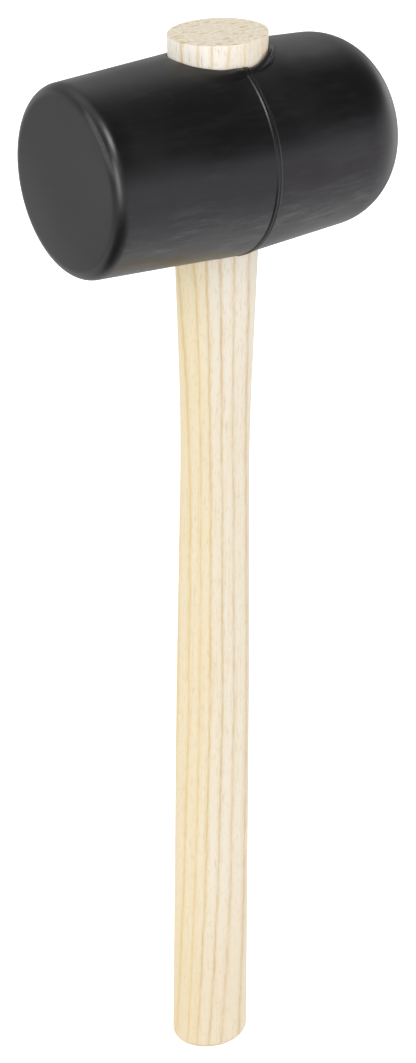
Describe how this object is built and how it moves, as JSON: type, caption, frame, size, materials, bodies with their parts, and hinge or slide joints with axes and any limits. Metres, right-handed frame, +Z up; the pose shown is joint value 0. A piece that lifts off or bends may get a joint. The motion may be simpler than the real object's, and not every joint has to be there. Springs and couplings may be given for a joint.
{
  "type": "rubber mallet",
  "caption": "Rubber mallet with a flat face and a domed face on a tapered rubber head, driven onto an oval wooden handle.",
  "frame": {"origin": "centre of the flat face at the handle's butt", "axes": "+Z up the handle towards the head; X along the head, with the flat striking face towards -X and the domed face towards +X; Y across the head"},
  "size_m": [0.1129, 0.0656, 0.363],
  "materials": {
    "rubber": "satin moulded",
    "wood": "smooth unvarnished ash"
  },
  "bodies": {
    "root": {"rubber_head": "rubber", "wooden_handle": "wood"}
  },
  "joints": []
}
